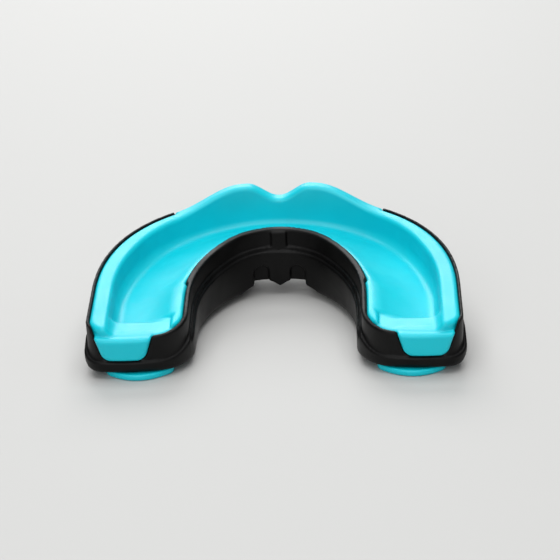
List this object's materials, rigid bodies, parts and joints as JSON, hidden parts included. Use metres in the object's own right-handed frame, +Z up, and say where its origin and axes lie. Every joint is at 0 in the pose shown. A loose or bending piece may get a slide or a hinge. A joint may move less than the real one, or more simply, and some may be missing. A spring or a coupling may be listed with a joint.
{
  "type": "boxing mouthguard",
  "caption": "Upper boxing mouthguard: a U-shaped rubber frame with a soft gel tooth tray, a notched front lip, a breathing channel and bite pads underneath.",
  "frame": {"origin": "middle of the bounding box's base, on the surface that the bite pads rest on", "axes": "+X across the jaw towards the right-hand arm, +Y towards the front teeth, +Z up out of the tooth channel"},
  "size_m": [0.0672, 0.0486, 0.019],
  "materials": {
    "frame_rubber": "satin moulded rubber",
    "gel": "satin soft gel"
  },
  "bodies": {
    "root": {"rubber_frame": "frame_rubber", "gel_liner": "gel", "bite_pad_left": "gel", "bite_pad_right": "gel"}
  },
  "joints": []
}
